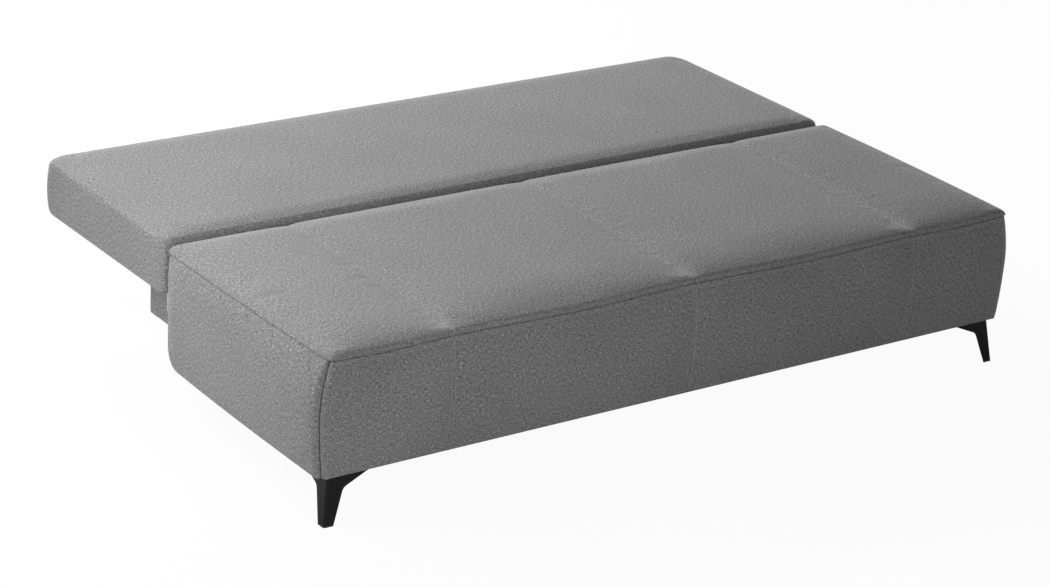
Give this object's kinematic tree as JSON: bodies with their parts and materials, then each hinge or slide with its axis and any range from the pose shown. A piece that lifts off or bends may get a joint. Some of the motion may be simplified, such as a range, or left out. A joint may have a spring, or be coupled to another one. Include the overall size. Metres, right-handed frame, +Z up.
{
  "type": "click clack sofa bed",
  "caption": "Armless upholstered sofa bed in its flat bed pose: channelled seat hood on two steel angle legs, bedding chest behind it and a back that folds up on toothed hinges.",
  "frame": {"origin": "centre of the overall box on the floor, under the sofa in its flat bed pose", "axes": "+X along the sofa, to the right as seen from the front; +Y from the front of the seat to the rear edge of the back; +Z up"},
  "size_m": [2.0274, 1.391, 0.421],
  "materials": {
    "upholstery": "woven grey melange",
    "lining": "plain woven lining",
    "hardboard": "raw hardboard",
    "beech": "planed beech",
    "powder_coat": "black powder coat",
    "black_plastic": "moulded, matt",
    "rubber": "moulded rubber",
    "spring_wire": "drawn steel wire",
    "zinc": "zinc-plated pressed steel"
  },
  "bodies": {
    "chest": {"chest_end_right": "lining", "chest_end_left": "lining", "chest_front": "lining", "chest_rear": "lining", "chest_floor": "hardboard", "chest_front_foot_right": "black_plastic", "chest_front_foot_left": "black_plastic", "chest_rear_foot_right": "black_plastic", "chest_rear_foot_left": "black_plastic", "seat_buffer_right": "rubber", "seat_buffer_left": "rubber", "back_buffer_right": "rubber", "back_buffer_left": "rubber", "seat_hinge_post_right": "zinc", "seat_hinge_post_left": "zinc", "seat_hinge_pin_right": "zinc", "seat_hinge_pin_left": "zinc", "fold_base_plate_right": "zinc", "fold_base_plate_left": "zinc"},
    "seat": {"seat_cushion": "upholstery", "seat_front_panel": "upholstery", "seat_end_panel_right": "upholstery", "seat_end_panel_left": "upholstery", "seat_rear_panel": "upholstery", "seat_front_rail": "beech", "seat_end_rail_right": "beech", "seat_end_rail_left": "beech", "seat_rear_rail": "beech", "seat_springs": "spring_wire", "front_leg_right": "powder_coat", "front_leg_left": "powder_coat", "leg_glide_right": "black_plastic", "leg_glide_left": "black_plastic", "seat_hinge_leaf_right": "zinc", "seat_hinge_leaf_left": "zinc"},
    "arms": {"swing_arm_right": "zinc", "swing_arm_left": "zinc", "sync_tube": "zinc", "back_pivot_pin_right": "zinc", "back_pivot_pin_left": "zinc", "pawl_pin_right": "zinc", "pawl_pin_left": "zinc"},
    "back": {"back_cushion": "upholstery", "back_front_rail": "beech", "back_rear_rail": "beech", "back_end_rail_right": "beech", "back_end_rail_left": "beech", "back_base_board": "lining", "back_springs": "spring_wire", "ratchet_bracket_right": "zinc", "ratchet_bracket_left": "zinc"},
    "pawl_right": {"pawl_right": "zinc"},
    "pawl_left": {"pawl_left": "zinc"}
  },
  "joints": [
    {"name": "back_fold", "type": "hinge", "parent": "arms", "child": "back", "pos_m": [0, 0.0805, 0.35], "axis": [1, 0, 0], "range_deg": [0, 88]},
    {"name": "arm_swing", "type": "hinge", "parent": "chest", "child": "arms", "pos_m": [0, 0.1705, 0.225], "axis": [-1, 0, 0], "range_deg": [0, 14]},
    {"name": "seat_lift", "type": "hinge", "parent": "chest", "child": "seat", "pos_m": [0, 0.0025, 0.395], "axis": [-1, 0, 0], "range_deg": [0, 45]},
    {"name": "pawl_release_right", "type": "hinge", "parent": "arms", "child": "pawl_right", "pos_m": [0.917, 0.10796, 0.31186], "axis": [-1, 0, 0], "range_deg": [0, 12]},
    {"name": "pawl_release_left", "type": "hinge", "parent": "arms", "child": "pawl_left", "pos_m": [-0.917, 0.10796, 0.31186], "axis": [-1, 0, 0], "range_deg": [0, 12]}
  ],
  "couplings": [
    {"joint": "arm_swing", "follows": "back_fold", "ratio": 0.159}
  ]
}
